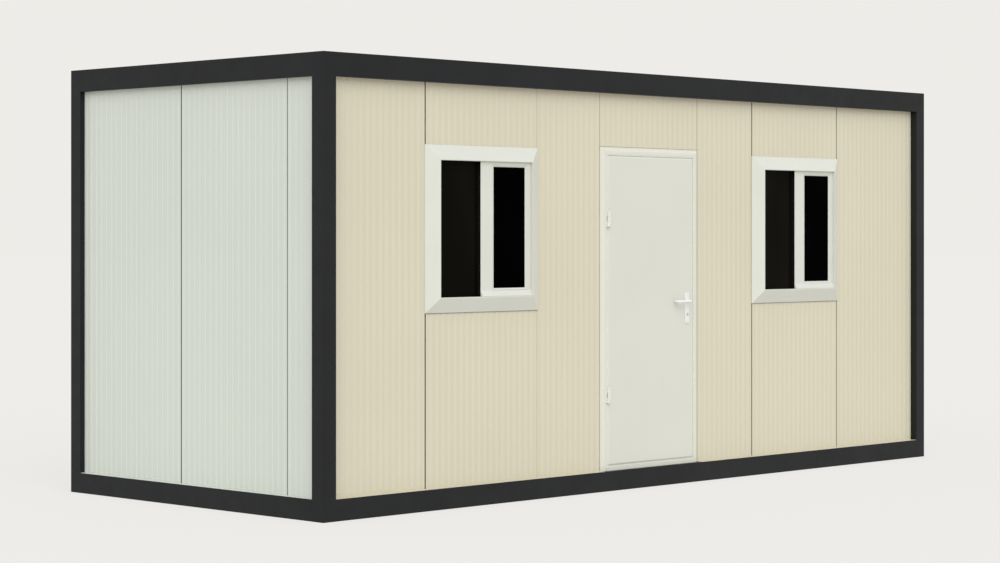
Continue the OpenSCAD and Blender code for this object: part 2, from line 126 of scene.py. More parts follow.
class Finish(Nodes):
    """One surface finish: constants on the shader's own sockets, and nodes for what varies."""

    def __init__(self, name, **constants):
        self.material = bpy.data.materials.new(name)
        self.material.use_nodes = True
        super().__init__(self.material.node_tree, "Principled BSDF")
        for socket, value in constants.items():
            self.shader.inputs[socket.replace("_", " ")].default_value = value
        self.place = self.node("ShaderNodeTexCoord", {}, {}, "Object")

    def noise(self, scale, detail=2.0, stretch=(1, 1, 1)):
        """Cloudy values round 0.5, with scale features to the metre along each stretched axis."""
        spot = self.node("ShaderNodeMapping", {}, {"Vector": self.place, "Scale": stretch})
        return self.node("ShaderNodeTexNoise", {}, {"Vector": spot, "Scale": scale, "Detail": detail})

    def flakes(self, scale):
        """A random value from 0 to 1 for each flake, with scale flakes to the metre."""
        flake = self.node("ShaderNodeTexVoronoi", {}, {"Vector": self.place, "Scale": scale}, "Color")
        return self.node("ShaderNodeSeparateColor", {}, {0: flake}, "Red")

    def height(self):
        """Height above the ground in metres."""
        return self.node("ShaderNodeSeparateXYZ", {}, {0: self.place}, "Z")

    def relief(self, level, strength, distance):
        """Fine relief in the surface, distance metres deep for a level from 0 to 1."""
        self.feed("Normal", self.node("ShaderNodeBump", {}, {
            "Height": level, "Strength": strength, "Distance": distance}, "Normal"))
        return self.material


def paint(red, green, blue):
    """Linear colour from three display levels out of 255."""
    level = np.array([red, green, blue]) / 255
    linear = np.where(level <= 0.04045, level / 12.92, ((level + 0.055) / 1.055) ** 2.4)
    return (*linear.tolist(), 1.0)


def shade(colour, factor):
    """A colour made darker or lighter."""
    return (*[min(1.0, part * factor) for part in colour[:3]], 1.0)


def clouded(finish, colour, scale, dark, light):
    """Feeds in a colour that drifts between two shades of itself, in soft patches."""
    patch = finish.noise(scale, 3.0).step(0.3, 0.7)
    finish.feed("Base Color", finish.mix(patch, shade(colour, dark), shade(colour, light)))


def coated_panel(name, colour):
    """Coated steel skin: fine pebbled relief, faint upright rolling streaks, and a little dust low down."""
    finish = Finish(name, Specular_IOR_Level=0.25)
    cloud = finish.noise(0.9, 3.0)
    streak = finish.noise(1.0, 3.0, stretch=(95, 95, 0.35))
    dust = (1 - finish.height().step(0.13, 0.55)) * finish.noise(5.0, 4.0, stretch=(1, 1, 2.5))
    tone = finish.mix(cloud.step(0.3, 0.7), shade(colour, 0.982), shade(colour, 1.012))
    tone = finish.mix(streak.step(0.35, 0.75) * 0.35, tone, shade(colour, 0.972))
    finish.feed("Base Color", finish.mix(dust * 0.16, tone, shade(colour, 0.88)))
    finish.feed("Roughness", finish.noise(30.0) * 0.12 + 0.42)
    return finish.relief(finish.noise(330.0, 3.0), 0.10, 0.0006)


def plastic(name, colour, roughness, grain=500.0, depth=0.0002):
    """Moulded or extruded plastic: even colour, faint clouding and a fine satin grain."""
    finish = Finish(name, Specular_IOR_Level=0.30, Coat_Roughness=0.25, Coat_Weight=0.05)
    clouded(finish, colour, 3.5, 0.985, 1.01)
    finish.feed("Roughness", finish.noise(24.0) * 0.12 + (roughness - 0.06))
    return finish.relief(finish.noise(grain, 2.0), 0.08, depth)


def brushed_coat(name, colour, roughness, ripple=55.0, depth=0.0009):
    """Sprayed paint on sheet steel: slight orange peel over a soft clouding of the colour."""
    finish = Finish(name, Specular_IOR_Level=0.28)
    clouded(finish, colour, 1.6, 0.985, 1.008)
    finish.feed("Roughness", finish.noise(18.0) * 0.14 + (roughness - 0.07))
    return finish.relief(finish.noise(ripple, 2.0), 0.05, depth)


def frame_paint(name, colour):
    """Paint on the steel frame: orange peel, scuffed roughness and pale dust towards the ground."""
    finish = Finish(name, Specular_IOR_Level=0.22)
    patch = finish.noise(2.2, 4.0)
    dust = (1 - finish.height().step(0.0, 0.16)) * finish.noise(7.0, 4.0).step(0.30, 0.80)
    speck = finish.noise(140.0, 2.0).step(0.66, 0.78)
    tone = finish.mix(patch.step(0.3, 0.7), shade(colour, 0.90), shade(colour, 1.12))
    tone = finish.mix(speck * 0.25, tone, shade(colour, 1.9))
    finish.feed("Base Color", finish.mix(dust * 0.015, tone, paint(120, 116, 108)))
    finish.feed("Roughness", finish.noise(11.0, 3.0) * 0.22 + 0.44)
    return finish.relief(finish.noise(70.0, 3.0), 0.12, 0.0008)


def zinc_sheet(name, colour):
    """Galvanised sheet: crystal spangles of differing tone, and dulled streaks down the fall."""
    finish = Finish(name, Specular_IOR_Level=0.5)
    tone = finish.flakes(38.0)
    streak = finish.noise(1.0, 3.0, stretch=(14, 0.6, 14))
    base = finish.mix(tone, shade(colour, 0.88), shade(colour, 1.12))
    finish.feed("Base Color", finish.mix(streak.step(0.4, 0.75) * 0.4, base, shade(colour, 0.78)))
    finish.feed("Metallic", 0.72 - streak * 0.2)
    finish.feed("Roughness", tone * 0.14 + 0.40)
    return finish.relief(finish.noise(120.0, 2.0), 0.10, 0.0006)


def bare_metal(name, colour, roughness):
    """Satin metal with faint fine scratches."""
    finish = Finish(name, Metallic=1.0)
    scratch = finish.noise(1.0, 3.0, stretch=(900, 60, 60))
    finish.feed("Base Color", finish.mix(finish.noise(40.0), shade(colour, 0.94), shade(colour, 1.04)))
    finish.feed("Roughness", scratch * 0.16 + (roughness - 0.08))
    return finish.relief(scratch, 0.05, 0.0001)


def rubber(name, colour):
    """Matt sealing rubber with a dusty bloom."""
    finish = Finish(name, Specular_IOR_Level=0.15)
    bloom = finish.noise(60.0, 3.0).step(0.4, 0.8) * 0.3
    finish.feed("Base Color", finish.mix(bloom, colour, shade(colour, 1.5)))
    finish.feed("Roughness", finish.noise(90.0) * 0.1 + 0.78)
    return finish.relief(finish.noise(700.0), 0.1, 0.0002)


def pane_painted_dark(name, colour, painted_light_tone, gloss):
    """Window glass made opaque: its near-black colour is painted shade of the dark room behind it, with
    faint uneven lighter patches of painted light and a thin clean gloss.
    """
    finish = Finish(name, Specular_IOR_Level=gloss, Roughness=0.06)
    cloud = finish.noise(1.3, 2.0, stretch=(1.4, 1, 0.7))
    finish.feed("Base Color", finish.mix(cloud.step(0.35, 0.7), colour, painted_light_tone))
    return finish.relief(finish.noise(2.2, 1.0), 0.02, 0.002)


def floor_vinyl(name, colour):
    """Sheet vinyl: fine chips of differing grey in a lightly worn, satin surface."""
    finish = Finish(name, Specular_IOR_Level=0.4)
    chip = finish.flakes(210.0)
    wear = finish.noise(1.4, 4.0)
    chips = finish.mix(chip, shade(colour, 0.78), shade(colour, 1.2))
    finish.feed("Base Color", finish.mix(wear * 0.3, chips, shade(colour, 0.9)))
    finish.feed("Roughness", wear * 0.25 + 0.30)
    return finish.relief(chip, 0.05, 0.0003)


def board(name, colour):
    """Painted board: roller stipple and faint clouding."""
    finish = Finish(name, Specular_IOR_Level=0.25)
    finish.feed("Base Color", finish.mix(finish.noise(2.0, 3.0), shade(colour, 0.975), shade(colour, 1.0)))
    finish.feed("Roughness", finish.noise(40.0) * 0.1 + 0.6)
    return finish.relief(finish.noise(260.0, 3.0), 0.10, 0.0006)


side_coat = coated_panel("cream_panel_coat", (0.582, 0.544, 0.413, 1.0))
end_coat = coated_panel("pale_grey_panel_coat", (0.575, 0.604, 0.535, 1.0))
room_coat = coated_panel("white_room_coat", (0.66, 0.66, 0.62, 1.0))
steel_paint = frame_paint("charcoal_frame_paint", (0.0084, 0.0090, 0.0098, 1.0))
joist_paint = frame_paint("joist_primer", paint(82, 84, 86))
window_pvc = plastic("white_window_pvc", (0.597, 0.603, 0.534, 1.0), 0.38)
door_paint = brushed_coat("white_door_paint", (0.599, 0.601, 0.530, 1.0), 0.42)
jamb_paint = brushed_coat("white_jamb_paint", (0.622, 0.613, 0.527, 1.0), 0.42)
handle_nylon = plastic("white_handle_nylon", (0.72, 0.72, 0.68, 1.0), 0.28, 900.0, 0.0001)
# The hinges' white is painted lighter than the door's, to wash out the shade round their knuckles
hinge_paint_with_painted_light = brushed_coat("white_hinge_paint", (0.68, 0.68, 0.61, 1.0), 0.40, 160.0, 0.0003)
seal_rubber = rubber("black_seal_rubber", (0.012, 0.011, 0.010, 1.0))
# Pile seal beside the meeting stile, made as black as the panes so that it carries their painted shade over
# the sash's side
brush_seal_and_painted_shade = rubber("black_brush_seal", (0.0030, 0.0028, 0.0022, 1.0))
white_rubber = rubber("white_edge_rubber", (0.68, 0.68, 0.61, 1.0))
# Grey rubber for the door's stop seal, and also the painted shadow of the strip under each window trim
grey_seal_and_shadow_rubber = rubber("grey_door_seal_and_trim_shadow", (0.12, 0.118, 0.11, 1.0))
# Both panes are painted near black as the shade of the room behind them; the fixed pane is painted a little
# lighter than the sash's pane
fixed_glass = pane_painted_dark("fixed_pane_glass", (0.0030, 0.0028, 0.0020, 1.0),
                        (0.0062, 0.0054, 0.0034, 1.0), 0.016)
sash_glass = pane_painted_dark("sash_pane_glass", (0.0001, 0.0001, 0.0002, 1.0),
                       (0.0006, 0.0006, 0.0012, 1.0), 0.004)
zinc = zinc_sheet("zinc_roof_sheet", paint(158, 163, 165))
nickel = bare_metal("satin_nickel", (0.60, 0.59, 0.56, 1.0), 0.34)
zinc_screw = bare_metal("zinc_screws", (0.55, 0.56, 0.57, 1.0), 0.42)
vinyl = floor_vinyl("grey_floor_vinyl", paint(136, 139, 141))
ceiling_board = board("white_ceiling_board", (0.68, 0.68, 0.65, 1.0))


# ---- Shapes: (points, faces) with points in millimetres ----

def eased(corners, radii, steps=3):
    """Outline with each corner B curved from A to C, radius away along its two sides.

    A point of the curve is (1-t)^2 A + 2t(1-t) B + t^2 C for t from 0 to 1.
    """
    corner = np.asarray(corners, float)
    back, onward = np.roll(corner, 1, 0) - corner, np.roll(corner, -1, 0) - corner
    back_l, onward_l = np.linalg.norm(back, axis=1), np.linalg.norm(onward, axis=1)
    reach = np.minimum(np.broadcast_to(radii, len(corner)), 0.49 * np.minimum(back_l, onward_l))
    start = corner + back * (reach / back_l)[:, None]
    end = corner + onward * (reach / onward_l)[:, None]
    t = np.linspace(0, 1, steps + 1)[None, :, None]
    curve = (1 - t) ** 2 * start[:, None] + 2 * t * (1 - t) * corner[:, None] + t ** 2 * end[:, None]
    return curve.reshape(-1, 2)


def rectangle(x0, x1, y0, y1, inset=0.0):
    """Corners of a rectangle, in order round it, each moved in by inset from both its sides."""
    a, b, c, d = x0 + inset, x1 - inset, y0 + inset, y1 - inset
    return [(a, c), (b, c), (b, d), (a, d)]


def lofted(rings, looped=False):
    """Skin over a stack of closed outlines: quad (i, j) joins points j, j+1 of outlines i, i+1.

    The two end outlines are filled, or the last one joins the first if looped.
    """
    count, around = rings.shape[:2]
    i, j = np.meshgrid(np.arange(count if looped else count - 1), np.arange(around), indexing="ij")
    above, beside = (i + 1) % count, (j + 1) % around
    faces = np.stack([i * around + j, i * around + beside, above * around + beside, above * around + j], -1)
    faces = faces.reshape(-1, 4).tolist()
    if not looped:
        faces += [list(range(around))[::-1], list(range((count - 1) * around, count * around))]
    return turned_out((rings.reshape(-1, 3), faces))


def turned_out(shape):
    """The shape with its faces outwards: the signed volume summed over its faces' fans is positive."""
    points, faces = shape
    fans = np.array([(f[0], f[k], f[k + 1]) for f in faces for k in range(1, len(f) - 1)])
    a, b, c = (points[fans[:, k]] for k in range(3))
    volume = np.einsum("ij,ij->i", a, np.cross(b, c)).sum()
    return shape if volume > 0 else (points, [f[::-1] for f in faces])


def joined(shapes):
    """Several shapes as one."""
    starts = np.cumsum([0] + [len(points) for points, _ in shapes[:-1]])
    faces = [[k + int(s) for k in f] for s, (_, fs) in zip(starts, shapes) for f in fs]
    return np.concatenate([points for points, _ in shapes]), faces


def repeated(shape, places):
    """A copy of the shape moved to each place."""
    return joined([(shape[0] + np.asarray(place, float), shape[1]) for place in places])


def bar(low, high, axis, radii=3.0, end_ease=0.5):
    """Box whose section across an axis has eased corners: outlines shrink by end_ease at both ends.

    Corners of the section run low-low, high-low, high-high, low-high in the two other axes.
    """
    low, high = np.asarray(low, float), np.asarray(high, float)
    p, q = [k for k in range(3) if k != axis]
    stations = [(low[axis], end_ease), (low[axis] + end_ease, 0),
                (high[axis] - end_ease, 0), (high[axis], end_ease)]
    rings = []
    for spot, inset in stations:
        outline = eased(rectangle(low[p], high[p], low[q], high[q], inset), radii)
        ring = np.empty((len(outline), 3))
        ring[:, axis], ring[:, p], ring[:, q] = spot, outline[:, 0], outline[:, 1]
        rings.append(ring)
    return lofted(np.stack(rings))


def side_bars(profile, centre, width, height, sides="TRBL", mitre=0.08, foot=None):
    """Mitred bars round an opening: each carries a profile of (outwards, depth) points along a side.

    A point at distance o outwards runs from -o to the side's length + o, less the mitre gap, so
    neighbours meet on the corner's bisector. With foot, the upright sides end square at that height.
    """
    outline = np.asarray(profile, float)
    out, depth = outline[:, 0], outline[:, 1]
    cx, cz = centre
    shapes = []
    for side in sides:
        length = width if side in "TB" else height
        near, far = -length / 2 - out + mitre, length / 2 + out - mitre
        reach = (height if side in "TB" else width) / 2 + out
        sign = 1 if side in "TR" else -1
        if foot is not None and side in "LR":
            near = np.full_like(out, foot - cz)
        ends = [np.stack([cx + s, depth, cz + sign * reach], -1) if side in "TB" else
                np.stack([cx + sign * reach, depth, cz + s], -1) for s in (near, far)]
        shapes.append(lofted(np.stack(ends)))
    return joined(shapes)


def stack(levels, x0, x1, z0, z1, radius=2.0, steps=3):
    """Eased rectangles stacked through the wall: each level is (depth, inset from all four sides)."""
    rings = []
    for depth, inset in levels:
        outline = eased(rectangle(x0, x1, z0, z1, inset), max(radius - inset / 2, 0.4), steps)
        rings.append(np.stack([outline[:, 0], np.full(len(outline), depth), outline[:, 1]], -1))
    return lofted(np.stack(rings))


def holed_frame(loops):
    """Closed frame: rectangular loops (x0, x1, z0, z1, depth) in order round its section, as a ring."""
    x0, x1, z0, z1, depth = np.asarray(loops, float).T
    corners = [np.stack([x, depth, z], -1) for x, z in rectangle(x0, x1, z0, z1)]
    return lofted(np.stack(corners, 1), looped=True)


def edging(x0, x1, y0, y1, profile):
    """Edging round a level rectangle: a profile of (distance in from its sides, height) points."""
    inward, z = np.asarray(profile, float).T
    corners = [np.stack([x, y, z], -1) for x, y in rectangle(x0, x1, y0, y1, inward)]
    return lofted(np.stack(corners, 1), looped=True)


def turned(profile, centre, axis=1, around=16):
    """Solid of revolution: (radius, height) points swept by angle, ends filled, axis pointing outwards."""
    outline = np.asarray(profile, float)
    angle = np.linspace(0, 2 * math.pi, around, endpoint=False)
    radius, height = outline[:, :1], np.broadcast_to(outline[:, 1:], (len(outline), around))
    p, q = [k for k in range(3) if k != axis]
    rings = np.empty((len(outline), around, 3))
    rings[..., p], rings[..., q], rings[..., axis] = radius * np.cos(angle), radius * np.sin(angle), height
    return lofted(rings + np.asarray(centre, float))


def tube(path, radii, height, around=24):
    """Round bar along a level path: a point is the path + radius (cos a across + sin a up)."""
    way = np.asarray(path, float)
    heading = np.gradient(way, axis=0)
    heading /= np.linalg.norm(heading, axis=1)[:, None]
    across = np.stack([-heading[:, 1], heading[:, 0]], -1)
    angle = np.linspace(0, 2 * math.pi, around, endpoint=False)
    radius = np.broadcast_to(radii, len(way))[:, None]
    flat = way[:, None] + (radius * np.cos(angle))[..., None] * across[:, None]
    level = height + radius * np.sin(angle)
    return lofted(np.concatenate([flat, level[..., None]], -1))


# Cover width of a wall panel, and its ribs: in each pitch the wave turns at these shares of it
MODULE = 990.0
RIB_PITCH = MODULE / 19
RIB_DEPTH = 2.0
RIB_WAVE = np.array([0.0, 0.40, 0.5, 0.90, 1.0])


def ribbed(a0, a1, z0, z1, face, back, start, hole=None, ease=1.2):
    """Panel with upright ribs, and how many of its faces are on the outside.

    Depth is face + RIB_DEPTH times a trapezoid wave of pitch RIB_PITCH counted from start, and the
    two upright edges turn in by ease. Cells of the grid (stations across, rows up) that fall in the
    hole are left out, and walls close every open side.
    """
    first, last = math.floor((a0 - start) / RIB_PITCH), math.ceil((a1 - start) / RIB_PITCH)
    ribs = start + RIB_PITCH * (np.arange(first, last)[:, None] + RIB_WAVE[:4]).ravel()
    edges = np.array([a0, a0 + 0.3 * ease, a0 + ease, a1 - ease, a1 - 0.3 * ease, a1])
    across = np.concatenate([ribs[(ribs > a0 + ease + 0.2) & (ribs < a1 - ease - 0.2)], edges])
    rows = np.array([z0, z1])
    if hole is not None:
        across, rows = np.concatenate([across, hole[:2]]), np.array([z0, hole[2], hole[3], z1])
    across = np.unique(np.round(across, 4))
    phase = np.mod((across - start) / RIB_PITCH, 1.0)
    wave = np.interp(phase, RIB_WAVE, [0, 0, 1, 1, 0])
    inside = np.minimum(across - a0, a1 - across)
    depth = face + RIB_DEPTH * wave + ease * np.clip(1 - inside / ease, 0, 1) ** 2
    m, n = len(across), len(rows)
    front = np.stack(np.broadcast_arrays(across[:, None], depth[:, None], rows[None]), -1)
    rear = np.stack(np.broadcast_arrays(across[:, None], np.full((m, 1), back), rows[None]), -1)
    solid = np.ones((m - 1, n - 1), bool)
    if hole is not None:
        mid_a, mid_z = (across[1:] + across[:-1]) / 2, (rows[1:] + rows[:-1]) / 2
        within_a = (mid_a > hole[0]) & (mid_a < hole[1])
        within_z = (mid_z > hole[2]) & (mid_z < hole[3])
        solid = ~(within_a[:, None] & within_z[None])
    number = np.arange(m * n).reshape(m, n)
    i, j = np.nonzero(solid)
    skin = np.stack([number[i, j], number[i + 1, j], number[i + 1, j + 1], number[i, j + 1]], -1)
    rim = np.pad(solid, 1).astype(int)
    upright = np.diff(rim[:, 1:-1], axis=0)
    i, j = np.nonzero(upright)
    upward = np.stack([number[i, j], number[i, j + 1]], -1)
    upward = np.where(upright[i, j][:, None] > 0, upward[:, ::-1], upward)
    level = np.diff(rim[1:-1], axis=1)
    i, j = np.nonzero(level)
    sideways = np.stack([number[i, j], number[i + 1, j]], -1)
    sideways = np.where(level[i, j][:, None] > 0, sideways, sideways[:, ::-1])
    edge = np.concatenate([upward, sideways])
    walls = np.concatenate([edge[:, ::-1], edge + m * n], -1)
    outside = skin.tolist() + walls.tolist()
    faces = outside + (skin[:, ::-1] + m * n).tolist()
    return (np.concatenate([front.reshape(-1, 3), rear.reshape(-1, 3)]), faces), len(outside)


# ---- Places ----

# Width of a corner post, depths of the long walls' and the end walls' faces, and a panel's thickness
POST, SIDE_FACE, END_FACE, PANEL_T = 100.0, 50.0, 36.0, 50.0
# The width is the steel frame's, because the whole box also takes in the door's handle
LENGTH, WIDTH = 1000 * (cad_high - cad_low)[0], -2000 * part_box("corner_post_front_left")[0][1]
BAY_X, BAY_Y = LENGTH / 2 - POST, WIDTH / 2 - POST

# For each wall: its middle on the ground, the way along it and the way inwards
WALLS = {
    "front": ((0, -WIDTH / 2, 0), (1, 0, 0), (0, 1, 0)),
    "back": ((0, WIDTH / 2, 0), (-1, 0, 0), (0, -1, 0)),
    "left": ((-LENGTH / 2, 0, 0), (0, -1, 0), (1, 0, 0)),
    "right": ((LENGTH / 2, 0, 0), (0, 1, 0), (-1, 0, 0)),
}
# For each wall: half the width between its posts, the depth of its face, its finish and its slot
BAYS = {
    "front": (BAY_X, SIDE_FACE, side_coat, "side_panels"),
    "back": (BAY_X, SIDE_FACE, side_coat, "side_panels"),
    "left": (BAY_Y, END_FACE, end_coat, "end_panels"),
    "right": (BAY_Y, END_FACE, end_coat, "end_panels"),
}


def corners_mm(node):
    """Lowest and highest corner of a CAD node in millimetres."""
    low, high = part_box(node)
    return 1000 * np.array(low), 1000 * np.array(high)


def corners_on_front(node):
    """Lowest and highest (along, depth, height) of a CAD node in the front wall."""
    return [corner + [0, WIDTH / 2, 0] for corner in corners_mm(node)]


def on_wall(shape, wall):
    """Point (along, depth, height) of a wall becomes origin + along A + depth D + height up."""
    origin, along, inward = (np.array(v, float) for v in WALLS[wall])
    points, faces = shape
    placed = origin + points[:, :1] * along + points[:, 1:2] * inward
    return placed + points[:, 2:] * np.array([0, 0, 1.0]), faces


def make(name, shape, finish, body="root", stands_for=(), smooth=None, inner=None):
    """A mesh piece from a shape, riding on a body. Inner is (first face, finish) for its other side."""
    points, faces = shape
    mesh = bpy.data.meshes.new(name)
    mesh.from_pydata((points * 0.001).tolist(), [], faces)
    mesh.materials.append(finish)
    if inner is not None:
        mesh.materials.append(inner[1])
        mesh.polygons.foreach_set("material_index", (np.arange(len(faces)) >= inner[0]).astype(np.int32))
    if smooth is not None:
        mesh.shade_smooth()
        mesh.set_sharp_from_angle(angle=math.radians(smooth))
    mesh.update()
    piece = bpy.data.objects.new(name, mesh)
    bpy.context.scene.collection.objects.link(piece)
    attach(piece, body)
    if stands_for:
        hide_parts(*stands_for)


def recoat(node, finish):
    """Gives a CAD node its own copy of a finish."""
    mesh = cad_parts[node].data
    mesh.materials.clear()
    mesh.materials.append(finish.copy())


# ---- Steel frame ----

# The outer edge of each post is rounder than the edges the beams meet
OUTER_EDGE_R, INNER_EDGE_R, BEAM_EDGE_R = 5.0, 1.2, 3.0
OUTER_EDGE = {"front_left": 0, "front_right": 1, "back_left": 3, "back_right": 2}
for post, outer in OUTER_EDGE.items():
    radii = [OUTER_EDGE_R if k == outer else INNER_EDGE_R for k in range(4)]
    make(f"post_{post}", bar(*corners_mm(f"corner_post_{post}"), 2, radii, 1.5),
         steel_paint, stands_for=[f"corner_post_{post}"])
for level in ("top", "bottom"):
    for side, axis in {"front": 0, "back": 0, "left": 1, "right": 1}.items():
        beam = f"{level}_beam_{side}"
        make(f"{beam}_rolled", bar(*corners_mm(beam), axis, BEAM_EDGE_R, 0.1),
             steel_paint, stands_for=[beam])

# Top of the bottom beams, and the lowest and highest of the top beams
WALL_Z0 = corners_mm("bottom_beam_front")[1][2]
WALL_Z1, FRAME_TOP = (corner[2] for corner in corners_mm("top_beam_front"))
WELD_R, WELD_RIPPLE, WELD_STEP = 1.6, 0.25, 5.0


def weld_bead(z0, z1):
    """Upright bead, a flattened half round: at angle a it lies 1.3 r cos a across and 1.2 - 0.6 r sin a
    deep, and r ripples with height z as WELD_R + WELD_RIPPLE sin(2 pi z / WELD_STEP)."""
    z = np.linspace(z0, z1, int(2 * (z1 - z0) / WELD_STEP) + 1)[:, None]
    angle = np.linspace(0, math.pi, 7)
    radius = WELD_R + WELD_RIPPLE * np.sin(2 * math.pi * z / WELD_STEP)
    across, depth = radius * np.cos(angle) * 1.3, 1.2 - radius * np.sin(angle) * 0.6
    return lofted(np.stack([across, depth, z + 0 * angle], -1))


# Weld beads where the beams meet the posts, on the outer faces
beads = joined([weld_bead(WALL_Z1 + 4, FRAME_TOP - 4), weld_bead(4, WALL_Z0 - 4)])
for wall, (half, _, _, _) in BAYS.items():
    make(f"weld_beads_{wall}", on_wall(repeated(beads, [(-half, 0, 0), (half, 0, 0)]), wall),
         steel_paint)


# ---- Walls ----

def panel(name, wall, a0, a1, node, start, z0=WALL_Z0, hole=None):
    """One wall panel piece with ribs counted from start, and its room side in white."""
    _, face, finish, slot = BAYS[wall]
    shape, outside = ribbed(a0, a1, z0, WALL_Z1, face, face + PANEL_T, start, hole)
    make(name, on_wall(shape, wall), finish, stands_for=[node], inner=(outside, room_coat))


def seam_seals(wall, openings):
    """Dark sealing strips, each as wide as its seam is open and sunk just below the ribs."""
    _, face, _, slot = BAYS[wall]
    strips = [bar((a0 - 0.3, face + 0.9, WALL_Z0), (a1 + 0.3, face + 14.0, WALL_Z1), 2, 0.3, 0.2)
              for a0, a1 in openings]
    make(f"{wall}_seam_seals", on_wall(joined(strips), wall), seal_rubber)


def panel_edges(half):
    """Edges of a wall's panels: what whole modules leave over comes first."""
    whole = math.ceil(2 * half / MODULE) - 1
    rest = 2 * half - whole * MODULE
    return [-half] + [rest - half + k * MODULE for k in range(whole)] + [half]


# Window openings, and how far the panels are cut back round them
OPEN_W, OPEN_H, CUT_BACK = 806.0, 832.0, 42.0
window_x = [float(sum(corners_mm(f"window_{side}_trim"))[0]) / 2 for side in ("left", "right")]
window_z = float(sum(corners_mm("window_left_trim"))[2]) / 2
door_low, door_high = corners_mm("door_frame")
door_x0, door_x1 = float(door_low[0]) - 2, float(door_high[0]) + 2

# Front wall: each seam's line, and how far it opens before and after that line
seams = [x + way * MODULE / 2 for x in window_x for way in (-1, 1)]
lines = [seams[0], seams[1], door_x0, door_x1, seams[2], seams[3]]
gaps = [(0.3, 8.2), (0.6, 0.6), (1.0, 1.0), (1.8, 1.8), (-1.5, 6.8), (1.6, 1.6)]
front_seams = [(line - before, line + after) for line, (before, after) in zip(lines, gaps)]
panel_starts = [-BAY_X] + [opens[1] for opens in front_seams]
panel_ends = [opens[0] for opens in front_seams] + [BAY_X]
for name, place, window in (("left", 0, None), ("window_left", 1, 0), ("mid_left", 2, None),
                            ("mid_right", 4, None), ("window_right", 5, 1), ("right", 6, None)):
    hole = None
    if window is not None:
        reach_x, reach_z = OPEN_W / 2 + CUT_BACK, OPEN_H / 2 + CUT_BACK
        hole = (window_x[window] - reach_x, window_x[window] + reach_x,
                window_z - reach_z, window_z + reach_z)
    panel(f"front_skin_{name}", "front", panel_starts[place], panel_ends[place],
          f"front_panel_{name}", seams[0], hole=hole)
panel("front_skin_over_door", "front", door_x0 + 1.5, door_x1 - 1.0, "front_panel_over_door", seams[0],
      z0=float(corners_mm("front_panel_over_door")[0][2]))
seam_seals("front", front_seams)

# Back and end walls, with the open width of each of their seams
for wall, edges, open_widths, node in (
        ("back", panel_edges(BAY_X), [2.2] * 5, "back_wall_panels"),
        ("left", [-edge for edge in panel_edges(BAY_Y)[::-1]], [8.2, 5.2], "left_end_panels"),
        ("right", panel_edges(BAY_Y), [5.2, 6.2], "right_end_panels")):
    seam_widths = [0.0, *open_widths, 0.0]
    for k, (a0, a1) in enumerate(zip(edges[:-1], edges[1:])):
        panel(f"{wall}_skin_{k + 1}", wall, a0 + seam_widths[k] / 2, a1 - seam_widths[k + 1] / 2,
              node, edges[1])
    seam_seals(wall, [(line - w / 2, line + w / 2) for line, w in zip(edges[1:-1], open_widths)])

# Flashings on the ledge below the panels, left out under the door
for wall, (half, face, finish, slot) in BAYS.items():
    spans = [(-half, door_x0 + 1), (door_x1 - 1, half)] if wall == "front" else [(-half, half)]
    strips = [bar((a0 + 0.2, 4.0, WALL_Z0 + 0.1), (a1 - 0.2, face + 2.4, WALL_Z0 + 1.6), 0, 0.5, 0.2)
              for a0, a1 in spans]
    make(f"{wall}_ledge_flashing", on_wall(joined(strips), wall), finish)


# ---- Windows ----

# Trim: face width, the flat round the opening, and the depths of that flat, of the outer edge and of
# the frame's seat
TRIM_W, TRIM_FLAT, TRIM_R, TRIM_EDGE_R, SEAT_R = 94.0, 6.0, 2.0, 45.0, 28.0
# Widths of the sliding sash's meeting stile, outer stile, bottom rail and top rail
MEETING, STILE, BASE, TOP = 119.0, 49.0, 51.0, 32.0
# The sash's thickness, how far its sill stands out from it, and the sill's height
SASH_T, SILL_OUT, SILL_H = 24.0, 15.0, 37.0
trim_profile = eased([(0, SEAT_R), (0, TRIM_R), (TRIM_FLAT, TRIM_R), (TRIM_W, TRIM_EDGE_R),
                      (TRIM_W, SIDE_FACE), (CUT_BACK, SIDE_FACE), (CUT_BACK, SEAT_R)],
                     [0.6, 1.6, 2.0, 1.8, 0.6, 0.6, 0.6])
# The strip under the trim's lower bar is painted shadow: a dark grey piece where the trim's bottom edge
# casts its shadow on the wall
trim_shadow_strip_profile = [(TRIM_W - 9, 44), (TRIM_W + 1.6, 45.5), (TRIM_W + 1.6, 50.4), (TRIM_W - 9, 50.4)]


def sash_frame(side, sash, pane, near):
    """The sash's four rails as one moulding with a glazing bead, and the seal round its pane."""
    def round_pane(grow, depth):
        """Loop round the pane, larger by grow on every side."""
        return (pane[0] - grow, pane[1] + grow, pane[2] - grow, pane[3] + grow, near + depth)

    def inside_edge(inset, depth):
        """Loop inside the sash's outer edge."""
        return (sash[0] + inset, sash[1] - inset, sash[2] + inset, sash[3] - inset, near + depth)

    rails = holed_frame([
        inside_edge(0, SASH_T), inside_edge(0, 1.2), inside_edge(0.4, 0.4), inside_edge(1.2, 0),
        round_pane(15, 0), round_pane(14.4, 1.4), round_pane(13.4, 1.4), round_pane(12.8, -0.8),
        round_pane(11.5, -1.4), round_pane(9, -1.2), round_pane(2, 3.6), round_pane(0.4, 5),
        round_pane(0, 6.6), round_pane(0, SASH_T)])
    make(f"window_{side}_sliding_sash", on_wall(rails, "front"), window_pvc,
         stands_for=[f"window_{side}_sash"])
    seal = holed_frame([round_pane(-3, 6.8), round_pane(0.5, 6.4), round_pane(0.5, 9), round_pane(-3, 9)])
    make(f"window_{side}_sash_seal", on_wall(seal, "front"), seal_rubber)


